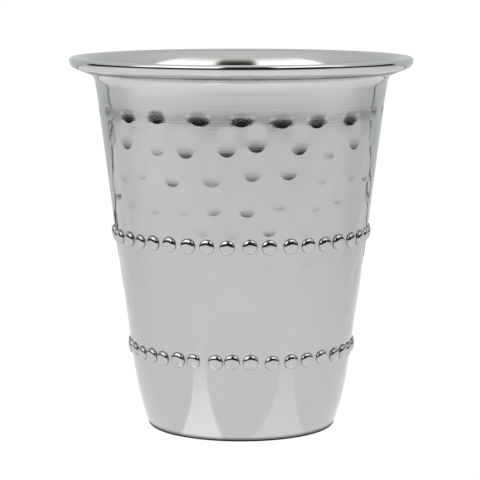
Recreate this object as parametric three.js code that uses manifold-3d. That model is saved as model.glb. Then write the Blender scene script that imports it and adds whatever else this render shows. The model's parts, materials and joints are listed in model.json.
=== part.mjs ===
// Hammered kiddush cup: a tapered beaker of sheet steel with a rolled lip, rows of hammer
// marks on its upper wall and two rows of raised beads, all one piece of metal.
// Millimetres, +Z up, origin at the centre of the resting ring under the foot.
import * as THREE from 'three';
import { mergeVertices } from 'three/addons/utils/BufferGeometryUtils.js';
import Module from 'manifold-3d';

// Overall sizes
const HEIGHT = 85.7;
const LIP_RADIUS = 39.5;
const WALL = 0.9;
const SEGMENTS = 40;

// Outside of the wall: the height and radius of each station up it, from the foot to the lip
const WALL_STATIONS = [
  [0, 21.58], [6, 23.39], [12, 24.62], [18.8, 25.6], [27, 26.69], [36, 27.98],
  [45.2, 29.19], [54, 30.24], [63, 31.39], [72, 32.52], [75.2, 32.89], [79.5, 33.56],
];
const LINE_SAMPLES = 400;

// Rolled lip: its edge is rounded tightly above its widest point and loosely below it
const ROLL_TOP = 0.75;
const ROLL_UNDER = 1.9;
const UNDERSIDE_RISE = THREE.MathUtils.degToRad(20.6);
const THROAT_FILLET = 2.4;
const CREST_RADIUS = 5.5;
const MOUTH_RADIUS = 14;
const MOUTH_BREAK = THREE.MathUtils.degToRad(26);

// Foot
const FOOT_EDGE = 0.8;
const RECESS_DEPTH = 0.8;
const RECESS_RADIUS = 16;
const REST_RADIUS = 17.6;
const INNER_CORNER = 2.2;
const INNER_STATIONS = [9, 6, 4, 2, 1];

// Straight pieces in each rounded part of the section
const FOOT_STEPS = 2;
const FILLET_STEPS = 2;
const ROLL_UNDER_STEPS = 2;
const ROLL_OVER_STEPS = 3;
const CREST_STEPS = 4;
const MOUTH_STEPS = 2;
const CORNER_STEPS = 2;

// Raised beads: each row has a height, a count, the place of one bead in degrees from the
// front, and how far its beads stray from even spacing (as a share of it) and from the height
const BEAD_RADIUS = 1.75;
const BEAD_HEIGHT = 0.65;
const BEAD_ROOT = 0.45;
const BEAD_SIDES = 7;
const BEAD_ROWS = [
  { height: 45.25, count: 40, turn: 3, spread: 0.12, lift: 0.15, seed: 11 },
  { height: 18.8, count: 37, turn: 5.5, spread: 0.15, lift: 0.2, seed: 12 },
];

// Hammer marks: the top row is struck hardest and most evenly, and the rows below it fade
const MARK_RADIUS = 2.05;
const MARK_SIDES = 6;
const MARK_CLEARANCE = 0.7;
const MARK_ROW_TOP = 73.4;
const MARK_ROW_PITCH = 6.2;
const TOP_MARKS = { depth: 0.3, spread: 0.08, lift: 0.6 };
const LOWER_MARKS = { depth: 0.17, spread: 0.16, lift: 1.1 };
const MARK_FADE = 0.9;
const MARK_ROWS = [
  { count: 22, turn: -1 }, { count: 24, turn: 8 }, { count: 23, turn: 4 },
  { count: 26, turn: 3 }, { count: 25, turn: 12 },
];

const steel = new THREE.MeshStandardMaterial({ color: 0xbcbcb8, roughness: 0.24, metalness: 1 });
steel.name = 'polished_steel';

const wallLine = new THREE.SplineCurve(WALL_STATIONS.map(([z, r]) => new THREE.Vector2(r, z)));
const wallSamples = wallLine.getPoints(LINE_SAMPLES);

// Radius of the wall's outside at a height, and the angle by which it leans outwards there.
function wallAt(z) {
  const above = wallSamples.findIndex((point, i) => i > 0 && point.y > z);
  const next = above > 0 ? above : wallSamples.length - 1;
  const a = wallSamples[next - 1];
  const b = wallSamples[next];
  const slope = (b.x - a.x) / (b.y - a.y);
  return { radius: a.x + slope * (z - a.y), lean: Math.atan(slope) };
}

// Points of an arc of radius r about (x, z), from one angle to another.
function arc(x, z, r, from, to, steps) {
  return new THREE.EllipseCurve(x, z, r, r, from, to, to < from).getPoints(steps);
}

// The outline of the body's section, from the underside's centre round to the inner floor's.
function bodyOutline() {
  const foot = wallAt(FOOT_EDGE / 2);
  const footX = foot.radius - FOOT_EDGE * Math.cos(foot.lean);
  const underside = [
    new THREE.Vector2(0, RECESS_DEPTH),
    new THREE.Vector2(RECESS_RADIUS, RECESS_DEPTH),
    new THREE.Vector2(REST_RADIUS, 0),
  ];
  const footEdge = arc(footX, FOOT_EDGE, FOOT_EDGE, -Math.PI / 2, -foot.lean, FOOT_STEPS);

  const top = WALL_STATIONS.at(-1);
  const lean = wallAt(top[0] - 0.1).lean;
  const rollZ = HEIGHT - ROLL_TOP;
  const tuckX = LIP_RADIUS - ROLL_UNDER * (1 - Math.sin(UNDERSIDE_RISE));
  const tuckZ = rollZ - ROLL_UNDER * Math.cos(UNDERSIDE_RISE);

  // The fillet's centre lies off both the leaning wall and the lip's underside.
  const wallNormal = new THREE.Vector2(Math.cos(lean), -Math.sin(lean));
  const underNormal = new THREE.Vector2(Math.sin(UNDERSIDE_RISE), -Math.cos(UNDERSIDE_RISE));
  const wallOffset = wallNormal.x * top[1] + wallNormal.y * top[0] + THROAT_FILLET;
  const underOffset = underNormal.x * tuckX + underNormal.y * tuckZ + THROAT_FILLET;
  const det = wallNormal.x * underNormal.y - wallNormal.y * underNormal.x;
  const filletX = (wallOffset * underNormal.y - wallNormal.y * underOffset) / det;
  const filletZ = (wallNormal.x * underOffset - underNormal.x * wallOffset) / det;
  const fillet = arc(filletX, filletZ, THROAT_FILLET,
    Math.PI - lean, Math.PI / 2 + UNDERSIDE_RISE, FILLET_STEPS);

  const outside = WALL_STATIONS.slice(1, -1).map(([z, r]) => new THREE.Vector2(r, z));
  const rollUnder = arc(LIP_RADIUS - ROLL_UNDER, rollZ, ROLL_UNDER,
    UNDERSIDE_RISE - Math.PI / 2, 0, ROLL_UNDER_STEPS);
  const rollOver = arc(LIP_RADIUS - ROLL_TOP, rollZ, ROLL_TOP, 0, Math.PI / 2,
    ROLL_OVER_STEPS);
  const crest = arc(LIP_RADIUS - ROLL_TOP, HEIGHT - CREST_RADIUS, CREST_RADIUS, Math.PI / 2,
    Math.PI - MOUTH_BREAK, CREST_STEPS);
  const breakPoint = crest.at(-1);
  const mouthX = breakPoint.x - MOUTH_RADIUS * Math.cos(Math.PI - MOUTH_BREAK);
  const mouthZ = breakPoint.y - MOUTH_RADIUS * Math.sin(Math.PI - MOUTH_BREAK);
  const mouth = arc(mouthX, mouthZ, MOUTH_RADIUS, Math.PI - MOUTH_BREAK, Math.PI - lean,
    MOUTH_STEPS);

  const inside = INNER_STATIONS.map((i) => {
    const [z, r] = WALL_STATIONS[i];
    return new THREE.Vector2(r - WALL / Math.cos(wallAt(z).lean), z);
  });
  const cornerZ = WALL + INNER_CORNER;
  const corner = wallAt(cornerZ);
  const cornerX = corner.radius - (WALL + INNER_CORNER) / Math.cos(corner.lean);
  const innerCorner = arc(cornerX, cornerZ, INNER_CORNER, -corner.lean, -Math.PI / 2,
    CORNER_STEPS);
  const floor = [
    new THREE.Vector2(RECESS_RADIUS, RECESS_DEPTH + WALL),
    new THREE.Vector2(0, RECESS_DEPTH + WALL),
  ];
  return [...underside, ...footEdge, ...outside, ...fillet, ...rollUnder, ...rollOver.slice(1),
    ...crest.slice(1), ...mouth.slice(1), ...inside, ...innerCorner, ...floor];
}

const wasm = await Module();
wasm.setup();

// A solid for joining and cutting, from a geometry whose shared corners are merged.
function toSolid(geometry) {
  const bare = geometry.clone();
  bare.deleteAttribute('normal');
  bare.deleteAttribute('uv');
  const merged = mergeVertices(bare, 1e-4);
  const index = merged.index.array;
  const corners = [];
  for (let i = 0; i < index.length; i += 3) {
    const [a, b, c] = [index[i], index[i + 1], index[i + 2]];
    if (a !== b && b !== c && c !== a) corners.push(a, b, c);
  }
  return new wasm.Manifold(new wasm.Mesh({
    numProp: 3,
    vertProperties: new Float32Array(merged.attributes.position.array),
    triVerts: new Uint32Array(corners),
  }));
}

// A geometry with flat facets, from a solid.
function toGeometry(solid) {
  const mesh = solid.getMesh();
  const geometry = new THREE.BufferGeometry();
  geometry.setAttribute('position', new THREE.BufferAttribute(mesh.vertProperties, 3));
  geometry.setIndex(new THREE.BufferAttribute(mesh.triVerts, 1));
  const facets = geometry.toNonIndexed();
  facets.computeVertexNormals();
  return facets;
}

// A lathed shape set on the wall at an angle and height, with its own Y straight out of it.
function placed(shape, angle, z) {
  const { radius, lean } = wallAt(z);
  const out = new THREE.Vector3(Math.sin(angle), -Math.cos(angle), 0);
  const along = new THREE.Vector3(Math.cos(angle), Math.sin(angle), 0);
  const normal = out.clone().multiplyScalar(Math.cos(lean)).setZ(-Math.sin(lean));
  const up = new THREE.Vector3().crossVectors(along, normal);
  const place = new THREE.Matrix4().makeBasis(along, normal, up);
  place.setPosition(out.multiplyScalar(radius).setZ(z));
  return toSolid(shape.clone().applyMatrix4(place));
}

// A number from 0 to 1 that is always the same for the same three inputs.
function chance(seed, item, use) {
  const wave = Math.sin(seed * 12.9898 + item * 78.233 + use * 37.719) * 43758.5453;
  return wave - Math.floor(wave);
}

// Angle and height of each place in an uneven row.
function rowPlaces({ height, count, turn, spread, lift, seed }) {
  return Array.from({ length: count }, (_, i) => {
    const step = i + spread * (2 * chance(seed, i, 0) - 1);
    const z = height + lift * (2 * chance(seed, i, 1) - 1);
    return { angle: THREE.MathUtils.degToRad(turn + (step * 360) / count), z };
  });
}

// A low dome with a root that goes into the wall.
function beadDome() {
  const outline = [
    [0, -BEAD_ROOT], [BEAD_RADIUS * 1.12, -BEAD_HEIGHT * 0.3],
    [BEAD_RADIUS * 0.7, BEAD_HEIGHT * 0.62], [0, BEAD_HEIGHT],
  ];
  return new THREE.LatheGeometry(outline.map(([x, y]) => new THREE.Vector2(x, y)), BEAD_SIDES);
}

// The tip of the hammer, and enough of its shank to clear the wall.
function hammerPunch(depth) {
  const outline = [
    [0, -depth], [MARK_RADIUS, 0], [MARK_RADIUS, MARK_CLEARANCE], [0, MARK_CLEARANCE],
  ];
  return new THREE.LatheGeometry(outline.map(([x, y]) => new THREE.Vector2(x, y)), MARK_SIDES);
}

// The whole cup: the lathed body, struck row by row, with its beads joined on.
function makeCup() {
  const body = new THREE.LatheGeometry(bodyOutline(), SEGMENTS).rotateX(Math.PI / 2);
  let solid = toSolid(body);

  MARK_ROWS.forEach((row, number) => {
    const kind = number === 0 ? TOP_MARKS : LOWER_MARKS;
    const punch = hammerPunch(kind.depth * MARK_FADE ** number);
    const height = MARK_ROW_TOP - MARK_ROW_PITCH * number;
    const places = rowPlaces({ ...kind, ...row, height, seed: number + 1 });
    const marks = places.map(({ angle, z }) => placed(punch, angle, z));
    solid = solid.subtract(wasm.Manifold.union(marks));
  });

  const bead = beadDome();
  for (const row of BEAD_ROWS) {
    const beads = rowPlaces(row).map(({ angle, z }) => placed(bead, angle, z));
    solid = solid.add(wasm.Manifold.union(beads));
  }
  return toGeometry(solid);
}

const cup = new THREE.Mesh(makeCup(), steel);
cup.name = 'cup';

const kiddushCup = new THREE.Group();
kiddushCup.name = 'kiddush_cup';
kiddushCup.add(cup);

export default kiddushCup;
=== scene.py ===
"""Hammered kiddush cup: one piece of stainless steel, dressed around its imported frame.

The cup is a lathed beaker with a rolled lip. Its wall carries rows of hammer marks and two
rows of raised beads. Lengths are millimetres in the cup's classes, and metres in the studio's
and in the finished mesh.
"""

import json
import logging
import math
from collections.abc import Iterator
from dataclasses import dataclass, field, replace
from enum import Enum

import bmesh
import bpy
from mathutils import Matrix, Vector, noise

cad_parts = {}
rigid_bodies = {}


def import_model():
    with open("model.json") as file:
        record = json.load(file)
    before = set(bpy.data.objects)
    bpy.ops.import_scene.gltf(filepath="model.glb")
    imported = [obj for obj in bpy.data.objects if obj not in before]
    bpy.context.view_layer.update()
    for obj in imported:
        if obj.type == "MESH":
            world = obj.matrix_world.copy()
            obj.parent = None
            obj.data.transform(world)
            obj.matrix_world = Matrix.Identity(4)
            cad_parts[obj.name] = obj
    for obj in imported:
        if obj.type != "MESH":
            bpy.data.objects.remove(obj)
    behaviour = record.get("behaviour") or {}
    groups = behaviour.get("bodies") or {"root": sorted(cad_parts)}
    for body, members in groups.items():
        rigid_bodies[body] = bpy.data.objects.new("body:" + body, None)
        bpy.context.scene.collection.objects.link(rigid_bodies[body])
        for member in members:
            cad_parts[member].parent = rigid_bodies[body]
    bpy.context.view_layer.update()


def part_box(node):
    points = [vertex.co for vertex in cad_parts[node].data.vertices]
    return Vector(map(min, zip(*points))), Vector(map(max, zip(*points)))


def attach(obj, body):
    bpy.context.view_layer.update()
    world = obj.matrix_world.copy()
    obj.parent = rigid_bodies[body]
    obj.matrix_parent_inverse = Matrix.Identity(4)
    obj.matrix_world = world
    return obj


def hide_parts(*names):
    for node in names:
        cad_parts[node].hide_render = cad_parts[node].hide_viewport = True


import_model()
CUP_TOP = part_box("cup")[1]

# A millimetre in metres, and how far apart corners may lie and still be merged, in millimetres
MM = 0.001
MERGE_GAP = 0.001

# Steps and stretch that spread plain numbers into chance ones
CHANCE_STEPS = (12.9898, 78.233, 37.719)
CHANCE_STRETCH = 43758.5453

# A face whose normal's Z is below this looks down
DOWNWARD = -0.5

# Attributes of the mesh: where the colour is drawn darker (painted shade round the beads, a darker
# line along the seam and the top row's marks), and where a hard blow has left the steel rough
DARKENED = "darkened"
STRUCK = "struck"

log = logging.getLogger("kiddush_cup")


class Finish(Enum):
    """The finishes of the cup, in the order of its material slots."""

    WALL = 0
    LIP = 1
    BEAD = 2
    INSIDE = 3
    UNDERSIDE = 4
    MOUTH = 5


class Draw(Enum):
    """What a chance number in a row is for."""

    SPREAD = 0
    LIFT = 1
    STRENGTH = 2


def chance(seed: int, item: int, draw: Draw) -> float:
    """Give a number from 0 to 1 that is always the same for the same inputs.

    Args:
        seed: The row's own seed.
        item: The place in the row.
        draw: What the number is for.

    Returns:
        A number from 0 to 1.
    """
    by_seed, by_item, by_draw = CHANCE_STEPS
    wave = math.sin(seed * by_seed + item * by_item + draw.value * by_draw) * CHANCE_STRETCH
    return wave - math.floor(wave)


def share(value: float, start: float, end: float) -> float:
    """Give how far a value has come from a start to an end, from 0 to 1."""
    return min(max((value - start) / (end - start), 0), 1)


def arc(x: float, z: float, radius: float, start: float, end: float, steps: int) -> list[Vector]:
    """Give an arc's points in the section plane, from a start to an end angle in radians."""
    angles = [start + (end - start) * i / steps for i in range(steps + 1)]
    return [Vector((x + radius * math.cos(a), z + radius * math.sin(a))) for a in angles]


class Graph:
    """A node tree being wired: it adds nodes, sets their plain values and links their sockets."""

    def __init__(self, tree: bpy.types.NodeTree) -> None:
        """Start from a tree, and empty it."""
        self.tree = tree
        tree.nodes.clear()

    def add(self, kind: str, inputs: dict | None = None, **settings: object) -> bpy.types.Node:
        """Add a node.

        Args:
            kind: The node's type, without its prefix.
            inputs: Its inputs by name or number, each a plain value or a socket to link from.
            **settings: The node's own settings.

        Returns:
            The new node.
        """
        node = self.tree.nodes.new(kind if kind.startswith("Node") else f"ShaderNode{kind}")
        for name, value in settings.items():
            setattr(node, name, value)
        for name, value in (inputs or {}).items():
            if isinstance(value, bpy.types.NodeSocket):
                self.tree.links.new(value, node.inputs[name])
            else:
                node.inputs[name].default_value = value
        return node

    def math(self, operation: str, *values: object) -> bpy.types.NodeSocket:
        """Add a Math node with its inputs in order, and give its result."""
        return self.add("Math", dict(enumerate(values)), operation=operation).outputs[0]

    def ramp(
        self, value: object, start: float, end: float, low: float = 0.0, high: float = 1.0
    ) -> bpy.types.NodeSocket:
        """Give a smooth step of a value, which is low before the start and high after the end."""
        inputs = {0: value, 1: start, 2: end, 3: low, 4: high}
        return self.add("MapRange", inputs, interpolation_type="SMOOTHSTEP").outputs[0]

    def band(self, value: object, low: float, high: float, edge: float) -> bpy.types.NodeSocket:
        """Give 1 between two values and 0 outside them.

        Args:
            value: What the band reads.
            low: Its lower end.
            high: Its upper end.
            edge: How wide its soft edges are.

        Returns:
            The socket of the result.
        """
        up = self.ramp(value, low - edge / 2, low + edge / 2)
        down = self.ramp(value, high - edge / 2, high + edge / 2, 1, 0)
        return self.math("MULTIPLY", up, down)

    def mix(self, factor: object, first: object, second: object) -> bpy.types.NodeSocket:
        """Give a blend of two colours, where the factor is how much of the second."""
        node = self.add("Mix", {0: factor, 6: first, 7: second}, data_type="RGBA")
        return node.outputs[2]


def grey(level: float) -> tuple[float, float, float, float]:
    """Give a neutral colour."""
    return (level, level, level, 1.0)


def new_group(
    name: str, inputs: dict[str, float], outputs: tuple[str, ...]
) -> tuple[Graph, bpy.types.Node, bpy.types.Node]:
    """Start a shader node group whose sockets are all plain values.

    Args:
        name: The group's name.
        inputs: Each input with its default.
        outputs: The outputs' names.

    Returns:
        The graph to wire, its input node and its output node.
    """
    tree = bpy.data.node_groups.new(name, "ShaderNodeTree")
    for socket, default in inputs.items():
        made = tree.interface.new_socket(socket, in_out="INPUT", socket_type="NodeSocketFloat")
        made.default_value = default
    for socket in outputs:
        tree.interface.new_socket(socket, in_out="OUTPUT", socket_type="NodeSocketFloat")
    graph = Graph(tree)
    return graph, graph.add("NodeGroupInput"), graph.add("NodeGroupOutput")


def lathe_lines() -> bpy.types.NodeTree:
    """Make the group for the fine lines that turning and brushing leave round the cup.

    Returns:
        A group with one output, Lines, from 0 to 1.
    """
    graph, given, out = new_group(
        "lathe_lines", {"Lines Per Metre": 2500.0, "Broken": 1.5, "Detail": 4.0}, ("Lines",)
    )
    place = graph.add("TexCoord").outputs["Object"]
    parts = graph.add("SeparateXYZ", {0: place})
    flat = graph.add("CombineXYZ", {0: parts.outputs[0], 1: parts.outputs[1]}).outputs[0]
    across = graph.add("VectorMath", {0: flat}, operation="LENGTH").outputs["Value"]
    around = graph.add("VectorMath", {0: flat}, operation="NORMALIZE").outputs[0]
    broken = {0: around, 3: given.outputs["Broken"]}
    around = graph.add("VectorMath", broken, operation="SCALE").outputs[0]
    along = graph.math("ADD", parts.outputs[2], across)
    along = graph.math("MULTIPLY", along, given.outputs["Lines Per Metre"])
    rise = graph.add("CombineXYZ", {2: along}).outputs[0]
    spot = graph.add("VectorMath", {0: around, 1: rise}, operation="ADD").outputs[0]
    scratches = {"Vector": spot, "Scale": 1.0, "Detail": given.outputs["Detail"], "Roughness": 0.6}
    lines = graph.add("TexNoise", scratches)
    graph.tree.links.new(lines.outputs[0], out.inputs["Lines"])
    return graph.tree


def handling() -> bpy.types.NodeTree:
    """Make the group for the soft cloudy patches of handled, polished steel.

    Returns:
        A group with one output, Cloud, from 0 to 1.
    """
    graph, given, out = new_group("handling", {"Scale": 60.0, "Sharpness": 0.25}, ("Cloud",))
    place = graph.add("TexCoord").outputs["Object"]
    cloud = graph.add("TexNoise", {"Vector": place, "Scale": given.outputs["Scale"], "Detail": 3.0})
    half = graph.math("SUBTRACT", 0.5, given.outputs["Sharpness"])
    full = graph.math("ADD", 0.5, given.outputs["Sharpness"])
    level = graph.add("MapRange", {0: cloud.outputs[0], 1: half, 2: full})
    graph.tree.links.new(level.outputs[0], out.inputs["Cloud"])
    return graph.tree


@dataclass(frozen=True)
class Steel:
    """A finish of the steel, from a coarse brushing to a mirror polish.

    The band gives the heights between which brushing lines are deeper, and by what share. The
    painted highlight gives the heights between which the colour is painted lighter towards the
    lip, and above them it stays so.
    The darkening, painted shade round the beads and a darker line along the seam and the top
    row's marks, is uneven in speckles and in patches: for each, where the noise has it rise from
    the thinner share to the full one, and those two shares.
    """

    name: str
    colour: tuple[float, float, float]
    rough: tuple[float, float]
    stretch: float
    lines_per_metre: float
    broken: float
    line_depth: float
    cloud_scale: float
    darkness: float = 0.0
    band: tuple[float, float, float] = (0.0, 0.0, 0.0)
    band_edge: float = 3.0
    highlight_strength: float = 0.0
    painted_highlight: tuple[float, float] = (76.0, 81.0)
    grain: float = 0.0
    pitting: float = 0.0
    line_share: float = 0.45
    wear_range: tuple[float, float] = (0.15, 0.85)
    worn: float = 0.94
    specks_per_metre: float = 3000.0
    speck_detail: float = 2.0
    stretch_turn: float = 0.25
    speckles: tuple[float, ...] = (0.3, 0.55, 0.7, 1.0)
    patches: tuple[float, ...] = (0.2, 0.8, 0.6, 1.0)
    dark_colour: tuple[float, float, float, float] = (0.05, 0.048, 0.045, 1.0)
    dark_roughness: float = 0.3

    def make(self, lines: bpy.types.NodeTree, clouds: bpy.types.NodeTree) -> bpy.types.Material:
        """Make the material.

        Args:
            lines: The group for brushing lines.
            clouds: The group for handling.

        Returns:
            The material.
        """
        material = bpy.data.materials.new(self.name)
        material.use_nodes = True
        graph = Graph(material.node_tree)
        brushing = {"Lines Per Metre": self.lines_per_metre, "Broken": self.broken}
        line = graph.add("Group", brushing, node_tree=lines).outputs[0]
        cloud = graph.add("Group", {"Scale": self.cloud_scale}, node_tree=clouds).outputs[0]
        place = graph.add("TexCoord").outputs["Object"]
        height = graph.add("SeparateXYZ", {0: place}).outputs[2]
        specks = {"Vector": place, "Scale": self.specks_per_metre, "Detail": self.speck_detail}
        speck = graph.add("TexNoise", specks).outputs[0]
        handled = graph.math("MULTIPLY", cloud, 1 - self.line_share)
        wear = graph.math("MULTIPLY_ADD", line, self.line_share, handled)
        roughness = graph.ramp(wear, *self.wear_range, *self.rough)
        worn = tuple(channel * self.worn for channel in self.colour)
        colour = graph.mix(wear, (*self.colour, 1.0), (*worn, 1.0))
        # Painted highlight: the colour is drawn lighter up towards the lip
        if self.highlight_strength:
            start, full = self.painted_highlight
            painted_highlight = graph.ramp(height, start * MM, full * MM, 0, self.highlight_strength)
            colour = graph.mix(painted_highlight, colour, grey(1.0))
        # Darkening: painted shade round the beads, and a darker line along the seam and the top
        # row's marks
        if self.darkness:
            darkening = self.darkening(graph, speck, cloud)
            colour = graph.mix(darkening, colour, self.dark_colour)
            roughness = graph.math("MULTIPLY_ADD", darkening, self.dark_roughness, roughness)
        shader = graph.add("BsdfPrincipled", {
            "Base Color": colour, "Metallic": 1.0, "Roughness": roughness,
            "Anisotropic": self.stretch, "Anisotropic Rotation": self.stretch_turn,
            "Normal": self.bump(graph, line, speck, height),
        })
        graph.add("OutputMaterial", {0: shader.outputs[0]})
        return material

    def darkening(self, graph: Graph, speck: object, cloud: object) -> bpy.types.NodeSocket:
        """Give how much darker the colour is drawn: painted shade round the beads, and a line along
        the seam and the top row's marks, in speckles and patches.

        Args:
            graph: The material's tree.
            speck: The socket of the fine specks.
            cloud: The socket of the cloudy patches.

        Returns:
            The socket of the darkening, from 0 to 1.
        """
        darkened = graph.add("Attribute", attribute_name=DARKENED).outputs["Fac"]
        speckled = graph.ramp(speck, *self.speckles)
        uneven = graph.math("MULTIPLY", speckled, graph.ramp(cloud, *self.patches))
        return graph.math("MULTIPLY", graph.math("MULTIPLY", darkened, self.darkness), uneven)

    def bump(
        self, graph: Graph, line: object, speck: object, height: object
    ) -> bpy.types.NodeSocket:
        """Give the normal of brushed steel, with a fine grain and the pits of hard blows.

        Args:
            graph: The material's tree.
            line: The socket of the brushing lines.
            speck: The socket of the fine specks.
            height: The socket of the height on the cup, in metres.

        Returns:
            The socket of the normal.
        """
        low, high, extra = self.band
        brushed = graph.band(height, low * MM, high * MM, self.band_edge * MM)
        relief = graph.math("MULTIPLY", line, graph.math("MULTIPLY_ADD", brushed, extra, 1.0))
        struck = graph.add("Attribute", attribute_name=STRUCK).outputs["Fac"]
        pits = graph.math("MULTIPLY_ADD", struck, self.pitting, self.grain)
        relief = graph.math("MULTIPLY_ADD", speck, pits, relief)
        depth = {"Strength": 1.0, "Distance": self.line_depth * MM, "Height": relief}
        return graph.add("Bump", depth).outputs[0]


STEEL = (0.56, 0.56, 0.55)
FINISHES = {
    # The wall's colour is drawn lighter under the lip: a painted highlight
    Finish.WALL: Steel(
        "hammered_wall", STEEL, rough=(0.05, 0.09), stretch=0.5, lines_per_metre=2600.0,
        broken=1.6, line_depth=0.006, cloud_scale=70.0, darkness=0.9, band=(71.0, 77.0, 0.55),
        highlight_strength=0.22, pitting=9.0,
    ),
    # The lip's colour is lighter than the same steel on the wall: a painted highlight
    Finish.LIP: Steel(
        "polished_lip", (0.64, 0.64, 0.63), rough=(0.04, 0.08), stretch=0.3,
        lines_per_metre=3000.0, broken=1.0, line_depth=0.004, cloud_scale=90.0, darkness=0.9,
        grain=0.8,
    ),
    Finish.BEAD: Steel(
        "polished_bead", STEEL, rough=(0.01, 0.03), stretch=0.0, lines_per_metre=4000.0,
        broken=1.0, line_depth=0.0001, cloud_scale=300.0, darkness=0.95,
    ),
    Finish.INSIDE: Steel(
        "turned_inside", STEEL, rough=(0.22, 0.34), stretch=0.6, lines_per_metre=1800.0,
        broken=1.2, line_depth=0.0015, cloud_scale=60.0,
    ),
    Finish.UNDERSIDE: Steel(
        "plain_underside", STEEL, rough=(0.20, 0.32), stretch=0.5, lines_per_metre=1500.0,
        broken=1.2, line_depth=0.0015, cloud_scale=80.0,
    ),
    Finish.MOUTH: Steel(
        "brushed_mouth", (0.6, 0.6, 0.59), rough=(0.11, 0.18), stretch=0.5,
        lines_per_metre=2600.0, broken=1.4, line_depth=0.004, cloud_scale=80.0,
    ),
}


@dataclass(frozen=True)
class Wall:
    """The outside of the wall: a smooth line through stations of height and radius."""

    stations: tuple[tuple[float, float], ...] = (
        (0, 21.58), (6, 23.39), (12, 24.62), (18.8, 25.6), (27, 26.69), (36, 27.98),
        (45.2, 29.19), (54, 30.24), (63, 31.39), (72, 32.52), (75.2, 32.89), (79.5, 33.56),
    )
    thickness: float = 0.9
    lean_span: float = 1.0

    def radius(self, z: float) -> float:
        """Give the outside radius at a height.

        Args:
            z: The height.

        Returns:
            The radius there.
        """
        last = len(self.stations) - 2
        i = next((k for k in range(last) if z < self.stations[k + 1][0]), last)
        z1, r1 = self.stations[i]
        z2, r2 = self.stations[i + 1]
        z0, r0 = self.stations[max(i - 1, 0)]
        z3, r3 = self.stations[min(i + 2, last + 1)]
        start = (r2 - r0) / (z2 - z0) * (z2 - z1)
        end = (r3 - r1) / (z3 - z1) * (z2 - z1)
        t = (z - z1) / (z2 - z1)
        if t > 1:
            return r2 + end * (t - 1)
        return (
            r1 * (2 * t**3 - 3 * t**2 + 1) + start * (t**3 - 2 * t**2 + t)
            + r2 * (3 * t**2 - 2 * t**3) + end * (t**3 - t**2)
        )

    def lean(self, z: float) -> float:
        """Give the angle by which the wall leans outwards at a height, in radians."""
        low, high = z - self.lean_span / 2, z + self.lean_span / 2
        return math.atan((self.radius(high) - self.radius(low)) / self.lean_span)

    def inner(self, z: float) -> float:
        """Give the inside radius at a height."""
        return self.radius(z) - self.thickness / math.cos(self.lean(z))


@dataclass(frozen=True)
class Place:
    """One place in a row, by its angle from the front, its height and its strength."""

    angle: float
    z: float
    strength: float

    def turn_to(self, angle: float) -> float:
        """Give the turn from this place to an angle, at most half a turn either way."""
        return (angle - self.angle + math.pi) % math.tau - math.pi


@dataclass(frozen=True)
class Row:
    """An uneven ring of places round the wall; turn is one place, in degrees from the front."""

    height: float
    count: int
    turn: float
    spread: float
    lift: float
    seed: int
    weakest: float = 1.0
    strongest: float = 1.0

    def sway(self, item: int, draw: Draw) -> float:
        """Give a chance number from -1 to 1 for one place in the row."""
        return 2 * chance(self.seed, item, draw) - 1

    def places(self) -> Iterator[Place]:
        """Give each place in the row.

        Yields:
            The places, in order round the cup.
        """
        for i in range(self.count):
            step = i + self.spread * self.sway(i, Draw.SPREAD)
            z = self.height + self.lift * self.sway(i, Draw.LIFT)
            reach = self.strongest - self.weakest
            strength = self.weakest + reach * chance(self.seed, i, Draw.STRENGTH)
            yield Place(math.radians(self.turn) + step * math.tau / self.count, z, strength)


@dataclass(frozen=True)
class Stroke:
    """The print that one blow leaves: an oval, deepest along its upper edge.

    That edge stands higher than the oval's middle by the brow, and by less towards both ends.
    Down from it the print rises in a curve to a crisp rim, and above it the print fades out.
    The colour is drawn darker along the edge, for a little way above and below it. Each row of
    marks has its own depth.
    """

    across: float
    tall: float
    brow: float
    above: float
    depth: float = 0.0
    depth_taper: float = 0.75
    edge_dark_taper: float = 0.25
    edge_dark_strength: float = 1.4
    edge_dark_above: float = 0.7
    edge_dark_below: float = 1.2

    def depth_at(self, x: float, z: float) -> float:
        """Give the print's depth at a point measured from the oval's middle.

        Args:
            x: Distance round the wall.
            z: Distance up the wall.

        Returns:
            The depth there, and 0 outside the print.
        """
        width = 1 - (x / self.across) ** 2
        if width <= 0:
            return 0.0
        edge = self.brow * math.sqrt(width)
        depth = self.depth * width**self.depth_taper
        if z < edge:
            down = min((edge - z) / ((self.brow + self.tall) * math.sqrt(width)), 1)
            return depth * (1 - down**2)
        return depth * max(1 - ((z - edge) / self.above) ** 2, 0.0) ** 2

    def edge_darkening(self, x: float, z: float) -> float:
        """Give how much darker the colour is drawn along the print's upper edge.

        Args:
            x: Distance round the wall from the oval's middle.
            z: Distance up the wall from it.

        Returns:
            The darkening, from 0 to 1.
        """
        width = 1 - (x / self.across) ** 2
        if width <= 0:
            return 0.0
        up = z - self.brow * math.sqrt(width)
        away = up / self.edge_dark_above if up > 0 else -up / self.edge_dark_below
        return min(max(self.edge_dark_strength - away, 0.0), 1.0) * width**self.edge_dark_taper

    def rim(self, x: float, z: float) -> float:
        """Give about how far a point is from the print's crisp rim.

        Args:
            x: Distance round the wall from the oval's middle.
            z: Distance up the wall from it.

        Returns:
            The distance, in millimetres.
        """
        if z > 0:
            return abs(abs(x) - self.across) + z
        return abs(math.hypot(x / self.across, z / self.tall) - 1) * self.tall


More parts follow.
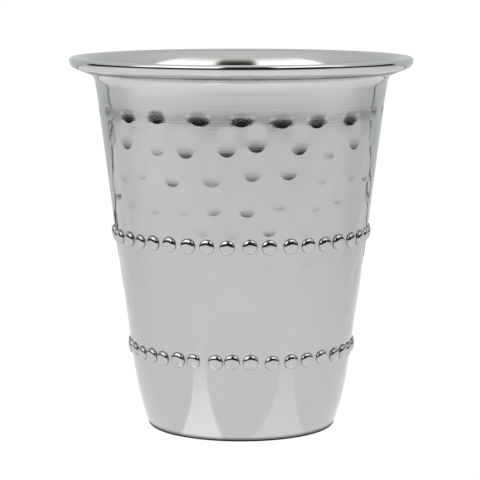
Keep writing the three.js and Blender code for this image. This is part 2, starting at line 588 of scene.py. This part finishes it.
@dataclass
class Hammering:
    """The hammer marks, and the slow waves that the work leaves in the sheet.

    Each row of marks has a count, the place of one mark in degrees from the front, and a
    depth. The top row is struck hardest, and the rows under it are soft prints. A slow wave
    and a finer ripple each rise from nothing between two heights, and both fade out round
    the top row. Steel is fully rough where a hard mark has reached its rough share of depth.
    """

    top: float = 73.4
    pitch: float = 6.2
    hard: Stroke = Stroke(across=2.1, tall=1.75, brow=0.5, above=0.25)
    soft: Stroke = Stroke(across=2.05, tall=1.9, brow=1.0, above=4.0)
    marks: tuple[tuple[int, float, float], ...] = (
        (22, -1, 0.27), (24, 8, 0.145), (23, 4, 0.145), (26, 3, 0.15), (25, 12, 0.155),
        (21, 12, 0.15), (23, 5, 0.135), (24, 4, 0.11), (20, -24, 0.085),
    )
    wave: float = 0.04
    wave_length: float = 9.0
    wave_rise: tuple[float, float] = (20.0, 28.0)
    ripple: float = 0.022
    ripple_length: float = 4.6
    ripple_rise: tuple[float, float] = (2.0, 6.0)
    fade_above: float = 3.0
    fade_below: float = 2.0
    wave_squash: float = 1.3
    crisp_depth: float = 0.03
    rough_depth: float = 0.5
    rows: list[tuple[Row, list[Place], Stroke]] = field(default_factory=list)

    def __post_init__(self) -> None:
        """Work out every mark, and each row's print."""
        for number, (count, turn, depth) in enumerate(self.marks):
            height, seed = self.top - self.pitch * number, number + 1
            if number:
                row = Row(
                    height, count, turn, spread=0.16, lift=1.1, seed=seed, weakest=0.75,
                    strongest=1.1,
                )
                stroke = replace(self.soft, depth=depth)
            else:
                row = Row(
                    height, count, turn, spread=0.08, lift=0.6, seed=seed, weakest=0.9,
                    strongest=1.1,
                )
                stroke = replace(self.hard, depth=depth)
            self.rows.append((row, list(row.places()), stroke))

    def near(self, z: float) -> Iterator[tuple[list[Place], Stroke]]:
        """Give the rows of marks that may reach a height.

        Args:
            z: The height.

        Yields:
            The marks of each such row, and their print.
        """
        for row, places, stroke in self.rows:
            if abs(z - row.height) <= stroke.tall + stroke.above + row.lift:
                yield places, stroke

    def relief(self, angle: float, z: float, radius: float) -> float:
        """Give how far hammering moves the wall at a point; inwards is negative.

        Args:
            angle: The angle from the front.
            z: The height.
            radius: The wall's radius there.

        Returns:
            The shift outwards from the axis, in millimetres.
        """
        shift = self.waviness(angle, z, radius)
        for places, stroke in self.near(z):
            for place in places:
                depth = stroke.depth_at(place.turn_to(angle) * radius, z - place.z)
                shift -= place.strength * depth
        return shift

    def nearest_rim(
        self, angle: float, z: float, radius: float, reach: float
    ) -> tuple[Place, Stroke] | None:
        """Find the mark whose rim passes a point.

        Args:
            angle: The angle from the front.
            z: The height.
            radius: The wall's radius there.
            reach: How far from the point the rim may be.

        Returns:
            The mark and its print, or None where no rim is within reach.
        """
        best, found = reach, None
        for places, stroke in self.near(z):
            for place in places:
                x = place.turn_to(angle) * radius
                if abs(x) > stroke.across + reach:
                    continue
                away = stroke.rim(x, z - place.z)
                if away < best and stroke.depth * place.strength > self.crisp_depth:
                    best, found = away, (place, stroke)
        return found

    def scars(self, angle: float, z: float, radius: float) -> tuple[float, float]:
        """Give how rough the top row's hard marks leave the wall at a point, and how much darker
        they draw its colour.

        Args:
            angle: The angle from the front.
            z: The height.
            radius: The wall's radius there.

        Returns:
            The roughness and the darkening, each from 0 to 1.
        """
        _, places, stroke = self.rows[0]
        spots = [(place.turn_to(angle) * radius, z - place.z) for place in places]
        depth = max(stroke.depth_at(x, up) for x, up in spots) / stroke.depth
        return min(depth / self.rough_depth, 1.0), max(stroke.edge_darkening(x, up) for x, up in spots)

    def waviness(self, angle: float, z: float, radius: float) -> float:
        """Give the sheet's slow wave and its finer ripple at a point.

        Args:
            angle: The angle from the front.
            z: The height.
            radius: The wall's radius there.

        Returns:
            The shift outwards from the axis, in millimetres.
        """
        point = Vector((math.sin(angle) * radius, math.cos(angle) * radius, z * self.wave_squash))
        wave = self.wave * share(z, *self.wave_rise) * noise.noise(point / self.wave_length)
        ripple = self.ripple * share(z, *self.ripple_rise) * noise.noise(point / self.ripple_length)
        return share(z, self.top + self.fade_above, self.top - self.fade_below) * (wave + ripple)


@dataclass(frozen=True)
class Beading:
    """The two rows of raised beads, whose seats follow the hammered wall by a share."""

    radius: float = 1.75
    height: float = 0.8
    root: float = 0.15
    sides: int = 24
    rings: int = 8
    fullness: float = 3.0
    follow: float = 0.5
    # Painted shade round each bead's root: it starts at this share of the radius, and holds this
    # share of its strength on the lower half, growing to full at the top
    painted_shade_edge: float = 0.86
    painted_shade_below: float = 0.35
    rows: tuple[Row, ...] = (
        Row(45.25, 40, 3, spread=0.12, lift=0.15, seed=11, weakest=0.94, strongest=1.04),
        Row(18.8, 37, 5.5, spread=0.15, lift=0.2, seed=12, weakest=0.94, strongest=1.04),
    )

    def outline(self) -> list[Vector]:
        """Give the section of one bead: a full dome on a short root in the wall.

        Returns:
            The section's points, from the root's edge to the dome's top.
        """
        widths = [math.cos(math.pi / 2 * i / self.rings) for i in range(self.rings + 1)]
        crown = [
            Vector((self.radius * width, self.height * math.sqrt(1 - width**self.fullness)))
            for width in widths
        ]
        return [Vector((self.radius, -self.root)), *crown]

    def darkness(self, spot: Vector) -> float:
        """Give the painted shade at a point of a bead: a dark line round its edge, darkest above
        it.
        """
        above = self.painted_shade_below + (1 - self.painted_shade_below) * max(spot.y / self.radius, 0)
        return share(spot.xy.length / self.radius, self.painted_shade_edge, 1) * above

    def dome(self) -> bpy.types.Mesh:
        """Make one bead, standing on the origin with +Z out of the wall.

        Returns:
            The bead's mesh, in millimetres.
        """
        mesh = bmesh.new()
        darkened = mesh.verts.layers.float.new(DARKENED)
        verts = [mesh.verts.new((point.x, 0, point.y)) for point in self.outline()]
        edges = [mesh.edges.new(pair) for pair in zip(verts, verts[1:])]
        bmesh.ops.spin(
            mesh, geom=verts + edges, cent=(0, 0, 0), axis=(0, 0, 1), dvec=(0, 0, 0),
            angle=math.tau, steps=self.sides, use_merge=True, use_duplicate=False,
        )
        bmesh.ops.remove_doubles(mesh, verts=mesh.verts, dist=MERGE_GAP)
        bmesh.ops.holes_fill(mesh, edges=[e for e in mesh.edges if e.is_boundary])
        bmesh.ops.recalc_face_normals(mesh, faces=mesh.faces)
        # Painted shade round the root, darkest on top
        for vert in mesh.verts:
            vert[darkened] = self.darkness(vert.co)
        for face in mesh.faces:
            face.material_index = Finish.BEAD.value
        data = bpy.data.meshes.new("bead")
        mesh.to_mesh(data)
        mesh.free()
        return data


@dataclass
class Cup:
    """The cup's body: profile, wall relief and beads, as one mesh.

    The lip's edge is rounded tightly above its widest point and loosely below it, and its
    rolled edge leaves a seam under it. The mouth flares in two arcs. The foot rests on a ring
    round a shallow recess. The mesh is closest round the top row of hammer marks.

    Four fields are shares: seam_edge of the seam's half width, foot_plain of the foot's edge,
    recess_ring of the recess's radius, and inner_relief of the outside's relief.
    """

    wall: Wall = field(default_factory=Wall)
    hammering: Hammering = field(default_factory=Hammering)
    beading: Beading = field(default_factory=Beading)
    height: float = CUP_TOP.z / MM
    lip_radius: float = CUP_TOP.x / MM
    roll_top: float = 0.75
    roll_under: float = 1.9
    roll_steps: int = 12
    underside_rise: float = math.radians(20.6)
    throat_fillet: float = 2.4
    throat_drop: float = 0.6
    throat_steps: int = 10
    crest_radius: float = 5.5
    crest_steps: int = 12
    mouth_radius: float = 14.0
    mouth_break: float = math.radians(26)
    mouth_steps: int = 8
    seam_inset: float = 1.9
    seam_depth: float = 0.25
    seam_width: float = 0.6
    seam_edge: float = 1.2
    foot_edge: float = 0.8
    foot_steps: int = 7
    foot_clear: float = 0.2
    foot_plain: float = 0.8
    recess_depth: float = 0.8
    recess_radius: float = 16.0
    recess_ring: float = 0.6
    rest_radius: float = 17.6
    inner_corner: float = 2.2
    corner_steps: int = 6
    inner_relief: float = 0.8
    steps_round: int = 312
    sectors: int = 6
    ring_gap: float = 0.5
    fine_gap: float = 0.25
    fine_reach: float = 2.4
    inside_gap: float = 1.5
    plain_gap: float = 0.9
    close_rows: int = 5

    def outside(self) -> list[Vector]:
        """Give the outside of the wall, from the foot's edge up to the fillet under the lip.

        Returns:
            The points, upwards, which stand wide apart below the close rows of marks.
        """
        low, high = self.foot_arc()[-1].y, self.fillet()[0].y
        middle = self.hammering.top - self.hammering.pitch * self.close_rows
        plain = round((middle - low) / self.plain_gap)
        heights = [low + (middle - low) * i / plain for i in range(1, plain)]
        while middle < high - self.fine_gap:
            heights.append(middle)
            middle += self.gap(middle)
        return [Vector((self.wall.radius(z), z)) for z in heights]

    def gap(self, z: float) -> float:
        """Give the gap between the wall's rings at a height, finest at the top row of marks."""
        return self.fine_gap if abs(z - self.hammering.top) < self.fine_reach else self.ring_gap

    def seam(self) -> list[Vector]:
        """Give the groove where the lip's rolled edge comes back against its underside.

        Returns:
            The groove's five points, from the wall outwards.
        """
        inward = Vector((-math.cos(self.underside_rise), -math.sin(self.underside_rise)))
        up = Vector((inward.y, -inward.x))
        tuck = self.roll()[0]
        middle = tuck + inward * self.seam_inset
        reach = inward * self.seam_width / 2
        bottom = middle + up * self.seam_depth
        edge = reach * self.seam_edge
        return [middle + edge, middle + reach, bottom, middle - reach, middle - edge]

    def foot_arc(self) -> list[Vector]:
        """Give the rounded edge of the foot.

        Returns:
            The arc's points, upwards.
        """
        lean = self.wall.lean(self.foot_edge)
        x = self.wall.radius(self.foot_edge / 2) - self.foot_edge * math.cos(lean)
        return arc(x, self.foot_edge, self.foot_edge, -math.pi / 2, -lean, self.foot_steps)

    def fillet(self) -> list[Vector]:
        """Give the fillet between the wall and the lip's underside.

        Returns:
            The arc's points, from the wall outwards.
        """
        z, r = self.wall.stations[-1]
        lean = self.wall.lean(z - self.throat_drop)
        tuck = self.roll()[0]
        wall_out = Vector((math.cos(lean), -math.sin(lean)))
        under_out = Vector((math.sin(self.underside_rise), -math.cos(self.underside_rise)))
        wall_line = wall_out.dot(Vector((r, z))) + self.throat_fillet
        under_line = under_out.dot(tuck) + self.throat_fillet
        solve = Matrix((wall_out, under_out)).inverted()
        centre = solve @ Vector((wall_line, under_line))
        start, end = math.pi - lean, math.pi / 2 + self.underside_rise
        return arc(centre.x, centre.y, self.throat_fillet, start, end, self.throat_steps)

    def roll(self) -> list[Vector]:
        """Give the round edge of the lip, from its underside to its crest.

        Returns:
            The points of its two arcs.
        """
        z, start = self.height - self.roll_top, self.underside_rise - math.pi / 2
        x_under, x_over = self.lip_radius - self.roll_under, self.lip_radius - self.roll_top
        under = arc(x_under, z, self.roll_under, start, 0, self.roll_steps)
        over = arc(x_over, z, self.roll_top, 0, math.pi / 2, self.roll_steps)
        return under + over[1:]

    def mouth(self) -> list[Vector]:
        """Give the two arcs of the mouth, from the crest down to the inside of the wall.

        Returns:
            The arcs' points, without the crest's first.
        """
        crest = arc(
            self.lip_radius - self.roll_top, self.height - self.crest_radius,
            self.crest_radius, math.pi / 2, math.pi - self.mouth_break, self.crest_steps,
        )
        turn = math.pi - self.mouth_break
        centre = crest[-1] - self.mouth_radius * Vector((math.cos(turn), math.sin(turn)))
        end = math.pi - self.wall.lean(self.wall.stations[-1][0])
        lower = arc(centre.x, centre.y, self.mouth_radius, turn, end, self.mouth_steps)
        return crest[1:] + lower[1:]

    def inside(self) -> list[Vector]:
        """Give the inside of the wall and the rounded corner of the floor.

        Returns:
            The points, downwards.
        """
        top = self.mouth()[-1].y
        low = self.wall.thickness + self.inner_corner
        count = round((top - low) / self.inside_gap)
        heights = [top + (low - top) * i / count for i in range(1, count)]
        points = [Vector((self.wall.inner(z), z)) for z in heights]
        lean = self.wall.lean(low)
        x = self.wall.inner(low) - self.inner_corner / math.cos(lean)
        return points + arc(x, low, self.inner_corner, -lean, -math.pi / 2, self.corner_steps)

    def outline(self) -> list[Vector]:
        """Give the whole section, from the middle of the underside round to the floor's.

        Returns:
            The section's points.
        """
        high, low = self.recess_depth, 0.0
        rings = (0, self.recess_radius * self.recess_ring, self.recess_radius)
        underside = [*(Vector((x, high)) for x in rings), Vector((self.rest_radius, low))]
        floor = [Vector((point.x, point.y + self.wall.thickness)) for point in underside[2::-1]]
        return [
            *underside, *self.foot_arc(), *self.outside(), *self.fillet(), *self.seam(),
            *self.roll(), *self.mouth(), *self.inside(), *floor,
        ]

    def lathe(self) -> bmesh.types.BMesh:
        """Turn the section round the axis: one sector is spun, then repeated.

        Returns:
            The closed body, in millimetres.
        """
        mesh = bmesh.new()
        verts = [mesh.verts.new((0.0, -point.x, point.y)) for point in self.outline()]
        edges = [mesh.edges.new(pair) for pair in zip(verts, verts[1:])]
        sector = math.tau / self.sectors
        bmesh.ops.spin(
            mesh, geom=verts + edges, cent=(0, 0, 0), axis=(0, 0, 1), dvec=(0, 0, 0),
            angle=sector, steps=self.steps_round // self.sectors, use_merge=False,
            use_duplicate=False,
        )
        first = mesh.verts[:] + mesh.edges[:] + mesh.faces[:]
        for number in range(1, self.sectors):
            copy = bmesh.ops.duplicate(mesh, geom=first)["geom"]
            turned = [v for v in copy if isinstance(v, bmesh.types.BMVert)]
            spin = Matrix.Rotation(sector * number, 3, "Z")
            bmesh.ops.rotate(mesh, cent=(0, 0, 0), matrix=spin, verts=turned)
        bmesh.ops.remove_doubles(mesh, verts=mesh.verts, dist=MERGE_GAP)
        bmesh.ops.recalc_face_normals(mesh, faces=mesh.faces)
        # The seam's groove is drawn darker
        darkened = mesh.verts.layers.float.new(DARKENED)
        bottom = self.seam()[2]
        for vert in mesh.verts:
            place = Vector((math.hypot(vert.co.x, vert.co.y), vert.co.z))
            vert[darkened] = float((place - bottom).length < self.seam_width)
        return mesh

    def build(self) -> bpy.types.Object:
        """Make the cup.

        Returns:
            The dressed object, in metres.
        """
        mesh = self.lathe()
        self.assign(mesh)
        self.strike(mesh)
        self.add_beads(mesh)
        bmesh.ops.scale(mesh, vec=(MM, MM, MM), verts=mesh.verts)
        data = bpy.data.meshes.new("cup_body")
        mesh.to_mesh(data)
        mesh.free()
        data.shade_smooth()
        body = bpy.data.objects.new("cup_body", data)
        bpy.context.collection.objects.link(body)
        self.dress(body)
        return body

    def dress(self, body: bpy.types.Object) -> None:
        """Give the cup its finishes, one in each slot.

        Args:
            body: The cup.
        """
        lines, clouds = lathe_lines(), handling()
        for finish in Finish:
            body.data.materials.append(FINISHES[finish].make(lines, clouds))

    def assign(self, mesh: bmesh.types.BMesh) -> None:
        """Give each face the slot of its finish.

        Args:
            mesh: The lathed body, in millimetres.
        """
        lip_low, mouth_low = self.seam()[0].y, self.mouth()[-1].y
        for face in mesh.faces:
            middle = face.calc_center_median()
            across = math.hypot(middle.x, middle.y)
            within = across < self.wall.radius(middle.z) - self.wall.thickness / 2
            if face.normal.xy.dot(middle.xy) < 0 and middle.z > mouth_low:
                finish = Finish.MOUTH
            elif middle.z > lip_low:
                finish = Finish.LIP
            elif within and face.normal.z > DOWNWARD:
                finish = Finish.INSIDE
            elif within or middle.z < self.foot_edge * self.foot_plain:
                finish = Finish.UNDERSIDE
            else:
                finish = Finish.WALL
            face.material_index = finish.value

    def strike(self, mesh: bmesh.types.BMesh) -> None:
        """Press the hammer marks into the wall, outside with crisp rims and, softer, inside.

        Args:
            mesh: The lathed body, in millimetres.
        """
        low, high = self.foot_edge + self.foot_clear, self.fillet()[0].y
        struck = mesh.verts.layers.float.new(STRUCK)
        darkened = mesh.verts.layers.float[DARKENED]
        rims: dict[bmesh.types.BMVert, Place] = {}
        blows = self.hammering
        for vert in mesh.verts:
            z = vert.co.z
            across = math.hypot(vert.co.x, vert.co.y)
            if not low < z < high or across < self.rest_radius:
                continue
            radius = self.wall.radius(z)
            angle = math.atan2(vert.co.x, -vert.co.y)
            if across < radius - self.wall.thickness / 2:
                shift = self.inner_relief * blows.relief(angle, z, radius)
                self.move(vert, angle, z, across + shift)
                continue
            found = blows.nearest_rim(angle, z, radius, self.gap(z) / 2)
            if found:
                mark, stroke = found
                rims[vert] = mark
                away = Vector((mark.turn_to(angle) * radius, z - mark.z))
                away /= math.hypot(away.x / stroke.across, away.y / stroke.tall)
                angle, z = mark.angle + away.x / radius, mark.z + away.y
                radius = self.wall.radius(z)
            # Near the top row: rougher steel, and colour drawn darker along the marks' upper edges
            if z > blows.top - blows.pitch / 2:
                vert[struck], vert[darkened] = blows.scars(angle, z, radius)
            self.move(vert, angle, z, radius + blows.relief(angle, z, radius))
        self.sharpen(mesh, rims)

    def move(self, vert: bmesh.types.BMVert, angle: float, z: float, radius: float) -> None:
        """Put a vertex at an angle from the front, a height and a radius."""
        vert.co = Vector((radius * math.sin(angle), -radius * math.cos(angle), z))

    def sharpen(self, mesh: bmesh.types.BMesh, rims: dict[bmesh.types.BMVert, Place]) -> None:
        """Make a sharp edge of every mark's rim.

        Args:
            mesh: The struck body.
            rims: The vertices on rims, each with its mark.
        """
        bmesh.ops.connect_verts(mesh, verts=list(rims))
        for vert, mark in rims.items():
            for edge in vert.link_edges:
                if rims.get(edge.other_vert(vert)) is mark:
                    edge.smooth = False

    def add_beads(self, mesh: bmesh.types.BMesh) -> None:
        """Set every bead on the wall.

        Args:
            mesh: The struck body, in millimetres.
        """
        dome = self.beading.dome()
        for row in self.beading.rows:
            for place in row.places():
                bead = dome.copy()
                bead.transform(self.seat(place))
                mesh.from_mesh(bead)
                bpy.data.meshes.remove(bead)
        bpy.data.meshes.remove(dome)

    def seat(self, place: Place) -> Matrix:
        """Give the matrix that sets a bead on the wall.

        Args:
            place: The bead's place.

        Returns:
            The matrix, in millimetres.
        """
        radius = self.wall.radius(place.z)
        radius += self.hammering.relief(place.angle, place.z, radius) * self.beading.follow
        out = Matrix.Translation((0, -radius, place.z))
        tip = Matrix.Rotation(math.pi / 2 + self.wall.lean(place.z), 4, "X")
        return Matrix.Rotation(place.angle, 4, "Z") @ out @ tip @ Matrix.Scale(place.strength, 4)


@dataclass(frozen=True)
class SoftBox:
    """A soft box, by the directions it fills: turn from the camera's side, and rise, in degrees."""

    left: float
    right: float
    low: float
    high: float
    glow: float
    edge: float = 8.0
    low_edge: float = 4.0
    fade: float = 30.0

    def mask(self, graph: Graph, turn: object, rise: object) -> bpy.types.NodeSocket:
        """Give 1 inside the box and 0 outside it.

        Args:
            graph: The tree that the nodes go into.
            turn: The socket of the direction's turn.
            rise: The socket of the direction's rise.

        Returns:
            The mask's socket.
        """
        across = graph.band(turn, self.left, self.right, self.edge)
        start = graph.ramp(rise, self.low - self.low_edge / 2, self.low + self.low_edge / 2)
        end = graph.ramp(rise, self.high - self.fade / 2, self.high + self.fade / 2, 1, 0)
        return graph.math("MULTIPLY", across, graph.math("MULTIPLY", start, end))


@dataclass(frozen=True)
class Glint:
    """A strip of light that the cup throws on the floor, outwards at a turn in degrees."""

    turn: float
    shift: float
    width: float
    reach: float
    glow: float
    softness: float = 0.12
    start: float = 0.01

    def level(self, graph: Graph, x: object, y: object) -> bpy.types.NodeSocket:
        """Give the light that the strip adds at a point of the floor.

        Args:
            graph: The tree that the nodes go into.
            x: The point's X, in metres.
            y: The point's Y, in metres.

        Returns:
            The socket of the level.
        """
        sine, cosine = math.sin(math.radians(self.turn)), math.cos(math.radians(self.turn))
        along = graph.math("MULTIPLY_ADD", x, sine, graph.math("MULTIPLY", y, -cosine))
        aside = graph.math("MULTIPLY_ADD", x, cosine, graph.math("MULTIPLY", y, sine))
        low, high = self.shift - self.width / 2, self.shift + self.width / 2
        strip = graph.band(aside, low, high, self.width * self.softness)
        fade = graph.ramp(along, 0.0, self.reach, self.glow, 0.0)
        fade = graph.math("MULTIPLY", fade, graph.ramp(along, 0, self.start))
        return graph.math("MULTIPLY", strip, fade)


@dataclass
class Studio:
    """The pale floor, the soft light round it and the camera.

    A step is where a smooth change starts and ends, with the levels before and after it. On
    the floor it runs along X, along Y or, for the shade round the foot, out from the axis. In
    the light it runs along the rise, in degrees. The dark room lies between two turns from the
    camera's side, with a soft edge, all three in degrees.
    """

    camera_distance: float = 0.505
    camera_height: float = 0.1106
    camera_side: float = -0.0003
    pitch: float = math.radians(7.616)
    lens: float = 164.3
    sensor: float = 36.0
    nearest: float = 0.01
    floor_side: float = 0.52
    floor_front: float = -0.39
    floor_back: float = 0.25
    # The floor runs on past its back by a strip painted dark: a painted shadow where the floor
    # meets the back
    back_shadow_strip: float = 0.02
    lit_side: float = 0.3
    lit_front: float = 0.215
    front_step: tuple[float, ...] = (-0.215, -0.08, 0.92, 0.98)
    back_step: tuple[float, ...] = (-0.05, 0.1, 0.0, 0.12)
    right_step: tuple[float, ...] = (0.02, 0.2, 1.0, 0.93)
    shade_step: tuple[float, ...] = (0.0216, 0.0231, 0.0, 1.0)
    # The step that paints the shadow along the floor's back edge
    back_shadow_step: tuple[float, ...] = (0.249, 0.25, 1.0, 0.02)
    glints: tuple[Glint, ...] = (
        Glint(-41.5, 0.0057, 0.011, 0.09, 0.42),
        Glint(48.0, -0.0085, 0.013, 0.09, 0.16),
    )
    boxes: tuple[SoftBox, ...] = (SoftBox(-80, -15, 18, 60, 2.1), SoftBox(25, 84, 31, 60, 2.0))
    tent: tuple[float, ...] = (0.61, 0.64, 0.65, 1.0)
    ceiling: tuple[float, ...] = (0.84, 0.84, 0.82, 1.0)
    ceiling_step: tuple[float, ...] = (20.0, 70.0)
    dark: float = 0.025
    dark_front: tuple[float, float, float] = (-62.0, 64.0, 10.0)
    dark_front_step: tuple[float, ...] = (46.0, 70.0, 1.0, 0.0)
    dark_sides: tuple[float, float, float] = (-122.0, 122.0, 8.0)
    dark_low_step: tuple[float, ...] = (8.0, 12.0, 1.0, 0.0)
    white: float = 1.02

    def add_camera(self) -> None:
        """Add the camera, a little above the lip and looking slightly down."""
        data = bpy.data.cameras.new("camera")
        data.lens = self.lens
        data.sensor_width = self.sensor
        data.clip_start = self.nearest
        camera = bpy.data.objects.new("camera", data)
        camera.location = (self.camera_side, -self.camera_distance, self.camera_height)
        camera.rotation_euler = (math.pi / 2 - self.pitch, 0, 0)
        bpy.context.collection.objects.link(camera)
        bpy.context.scene.camera = camera

    def add_floor(self) -> bpy.types.Object:
        """Add the pale floor.

        Returns:
            The floor.
        """
        mesh = bmesh.new()
        bmesh.ops.create_grid(mesh, x_segments=1, y_segments=1, size=0.5)
        back = self.floor_back + self.back_shadow_strip
        size = (2 * self.floor_side, back - self.floor_front, 1)
        bmesh.ops.scale(mesh, vec=size, verts=mesh.verts)
        bmesh.ops.translate(mesh, vec=(0, (back + self.floor_front) / 2, 0), verts=mesh.verts)
        data = bpy.data.meshes.new("floor")
        mesh.to_mesh(data)
        mesh.free()
        floor = bpy.data.objects.new("floor", data)
        bpy.context.collection.objects.link(floor)
        data.materials.append(self.floor_paper())
        return floor

    def floor_paper(self) -> bpy.types.Material:
        """Make the floor's white paper, with the light that the cup throws on it.

        Returns:
            The material.
        """
        material = bpy.data.materials.new("pale_floor")
        material.use_nodes = True
        graph = Graph(material.node_tree)
        seen = graph.add("LightPath").outputs["Is Camera Ray"]
        # The floor glows: the light on it, the glints and the shade round the foot are painted into
        # its emission, which only reflections see; the camera sees it evenly white
        paper = graph.add("Emission", {0: grey(1.0), 1: self.floor_level(graph)})
        white = graph.add("Emission", {0: grey(1.0), 1: self.white})
        shown = graph.add("MixShader", {0: seen, 1: paper.outputs[0], 2: white.outputs[0]})
        graph.add("OutputMaterial", {0: shown.outputs[0]})
        return material

    def floor_level(self, graph: Graph) -> bpy.types.NodeSocket:
        """Give the light on the floor, in an oval that falls off towards the floor's edges.

        Args:
            graph: The floor's tree.

        Returns:
            The socket of the level.
        """
        place = graph.add("SeparateXYZ", {0: graph.add("TexCoord").outputs["Object"]})
        x, y = place.outputs[0], place.outputs[1]
        wide = graph.math("DIVIDE", x, self.lit_side)
        deep = graph.math("DIVIDE", graph.math("MINIMUM", y, 0.0), self.lit_front)
        oval = graph.add("CombineXYZ", {0: wide, 1: deep}).outputs[0]
        away = graph.add("VectorMath", {0: oval}, operation="LENGTH").outputs["Value"]
        edge = self.floor_side / self.lit_side
        lit = graph.add("MapRange", {0: away, 1: edge, 2: 1.0}).outputs[0]
        level = graph.ramp(y, *self.front_step)
        level = graph.math("SUBTRACT", level, graph.ramp(y, *self.back_step))
        level = graph.math("MULTIPLY", level, lit)
        level = graph.math("MULTIPLY", level, graph.ramp(x, *self.right_step))
        for glint in self.glints:
            level = graph.math("ADD", level, glint.level(graph, x, y))
        flat = graph.add("CombineXYZ", {0: x, 1: y}).outputs[0]
        across = graph.add("VectorMath", {0: flat}, operation="LENGTH").outputs["Value"]
        level = graph.math("MULTIPLY", level, graph.ramp(across, *self.shade_step))
        # Painted shadow along the floor's back edge
        return graph.math("MULTIPLY", level, graph.ramp(y, *self.back_shadow_step))

    def add_light(self) -> None:
        """Light the scene: two soft boxes in front, pale walls behind, and a dark room between."""
        world = bpy.data.worlds.new("light_tent")
        bpy.context.scene.world = world
        world.use_nodes = True
        graph = Graph(world.node_tree)
        way = graph.add("SeparateXYZ", {0: graph.add("TexCoord").outputs["Generated"]})
        rise = graph.math("MULTIPLY", graph.math("ARCSINE", way.outputs[2]), 180 / math.pi)
        ahead = graph.math("MULTIPLY", way.outputs[1], -1.0)
        turn = graph.math("MULTIPLY", graph.math("ARCTAN2", way.outputs[0], ahead), 180 / math.pi)
        front, sides = graph.band(turn, *self.dark_front), graph.band(turn, *self.dark_sides)
        upper = graph.math("MULTIPLY", front, graph.ramp(rise, *self.dark_front_step))
        lower = graph.math("MULTIPLY", sides, graph.ramp(rise, *self.dark_low_step))
        tent = graph.mix(graph.ramp(rise, *self.ceiling_step), self.tent, self.ceiling)
        light = graph.mix(graph.math("MAXIMUM", upper, lower), tent, grey(self.dark))
        for box in self.boxes:
            light = graph.mix(box.mask(graph, turn, rise), light, grey(box.glow))
        seen = graph.add("LightPath").outputs["Is Camera Ray"]
        light = graph.mix(seen, light, grey(self.white))
        shade = graph.add("Background", {0: light, 1: 1.0})
        graph.add("OutputWorld", {0: shade.outputs[0]})

    def build(self) -> None:
        """Set up the camera, the floor and the light."""
        self.add_camera()
        self.add_floor()
        self.add_light()
        bpy.context.scene.view_settings.view_transform = "Standard"


def main() -> None:
    """Build the cup and set the studio."""
    logging.basicConfig(level=logging.INFO, format="%(message)s")
    cup = Cup().build()
    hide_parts("cup")
    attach(cup, "root")
    log.info("cup body: %d faces", len(cup.data.polygons))
    Studio().build()


if __name__ == "__main__":
    main()
